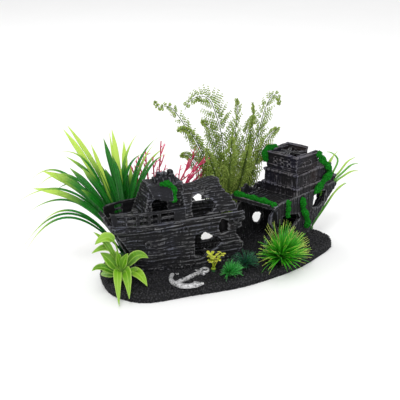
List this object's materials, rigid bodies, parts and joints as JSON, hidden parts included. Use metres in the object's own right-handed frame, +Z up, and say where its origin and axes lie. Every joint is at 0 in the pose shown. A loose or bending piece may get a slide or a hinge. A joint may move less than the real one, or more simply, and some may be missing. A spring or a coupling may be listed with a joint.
{
  "type": "aquarium shipwreck bubbler ornament",
  "caption": "Black resin shipwreck broken in two on a gravel base, with moss, an anchor, an air stone in the hold and plug-in plastic water plants.",
  "frame": {"origin": "centre of the base's underside", "axes": "+X along the base's long side towards the stern half, +Y towards the back, +Z up"},
  "size_m": [0.4807, 0.1783, 0.2033],
  "materials": {
    "gravel": "black gravel grains bonded in resin",
    "resin": "cast polyresin, charcoal, moulded as weathered planks",
    "resin_dry_brushed": "cast polyresin, charcoal with grey dry-brushing",
    "anchor_silver": "cast resin, silver-grey dry-brushed over black",
    "moss": "green flock and granules",
    "clear_plastic": "translucent plastic",
    "air_stone": "porous mineral stone",
    "plug_green": "moulded plastic",
    "tall_grass": "soft plastic, deep green with lime tips",
    "broad_leaf": "soft plastic, lime with pale edges",
    "coral": "soft plastic, crimson-pink",
    "fern": "soft plastic, olive green",
    "grass_ball": "soft plastic, bright green with yellow tips",
    "green_tuft": "soft plastic, green",
    "yellow_sprig": "soft plastic, yellow-green",
    "dark_tuft": "soft plastic, dark green",
    "rear_sprig": "soft plastic, yellow-green"
  },
  "bodies": {
    "ornament": {"base_plinth": "gravel", "bow_hull_port": "resin", "bow_hull_starboard": "resin", "stem_post": "resin_dry_brushed", "bow_deck": "resin", "bow_rail_port": "resin", "bow_rail_starboard": "resin", "bow_wale": "resin_dry_brushed", "forecastle_cabin": "resin", "cabin_eave": "resin_dry_brushed", "mast_stump": "resin", "midship_roof": "resin", "rail_bitt": "resin_dry_brushed", "porthole_bow": "resin_dry_brushed", "porthole_mid": "resin_dry_brushed", "porthole_roof": "resin_dry_brushed", "porthole_break": "resin_dry_brushed", "stern_hull_port": "resin", "stern_hull_starboard": "resin", "stern_transom": "resin", "stern_deck": "resin", "deck_beam": "resin_dry_brushed", "stern_rib": "resin", "stern_bulwark": "resin", "quarterdeck_house": "resin", "castle_mid_tier": "resin", "castle_top_tier": "resin", "castle_beams": "resin_dry_brushed", "anchor": "anchor_silver", "moss_cabin": "moss", "moss_beam": "moss", "moss_hull": "moss", "moss_port": "moss", "moss_garland": "moss", "moss_rim": "moss", "air_inlet": "clear_plastic", "air_tube": "clear_plastic", "air_stone": "air_stone"},
    "tall_grass": {"tall_grass_plug": "plug_green", "tall_grass": "tall_grass"},
    "broad_leaf": {"broad_leaf_plug": "plug_green", "broad_leaf": "broad_leaf"},
    "coral": {"coral_plug": "plug_green", "coral": "coral"},
    "fern": {"fern_plug": "plug_green", "fern": "fern"},
    "grass_ball": {"grass_ball_plug": "plug_green", "grass_ball": "grass_ball"},
    "green_tuft": {"green_tuft_plug": "plug_green", "green_tuft": "green_tuft"},
    "yellow_sprig": {"yellow_sprig_plug": "plug_green", "yellow_sprig": "yellow_sprig"},
    "dark_tuft": {"dark_tuft_plug": "plug_green", "dark_tuft": "dark_tuft"},
    "rear_sprig": {"rear_sprig_plug": "plug_green", "rear_sprig": "rear_sprig"}
  },
  "joints": [
    {"name": "tall_grass_pull", "type": "slide", "parent": "ornament", "child": "tall_grass", "axis": [0, 0, 1], "range_m": [0, 0.016]},
    {"name": "broad_leaf_pull", "type": "slide", "parent": "ornament", "child": "broad_leaf", "axis": [0, 0, 1], "range_m": [0, 0.014]},
    {"name": "coral_pull", "type": "slide", "parent": "ornament", "child": "coral", "axis": [0, 0, 1], "range_m": [0, 0.016]},
    {"name": "fern_pull", "type": "slide", "parent": "ornament", "child": "fern", "axis": [0, 0, 1], "range_m": [0, 0.016]},
    {"name": "grass_ball_pull", "type": "slide", "parent": "ornament", "child": "grass_ball", "axis": [0, 0, 1], "range_m": [0, 0.014]},
    {"name": "green_tuft_pull", "type": "slide", "parent": "ornament", "child": "green_tuft", "axis": [0, 0, 1], "range_m": [0, 0.014]},
    {"name": "yellow_sprig_pull", "type": "slide", "parent": "ornament", "child": "yellow_sprig", "axis": [0, 0, 1], "range_m": [0, 0.014]},
    {"name": "dark_tuft_pull", "type": "slide", "parent": "ornament", "child": "dark_tuft", "axis": [0, 0, 1], "range_m": [0, 0.014]},
    {"name": "rear_sprig_pull", "type": "slide", "parent": "ornament", "child": "rear_sprig", "axis": [0.4289, 0.191, 0.8829], "range_m": [0, 0.012]}
  ]
}
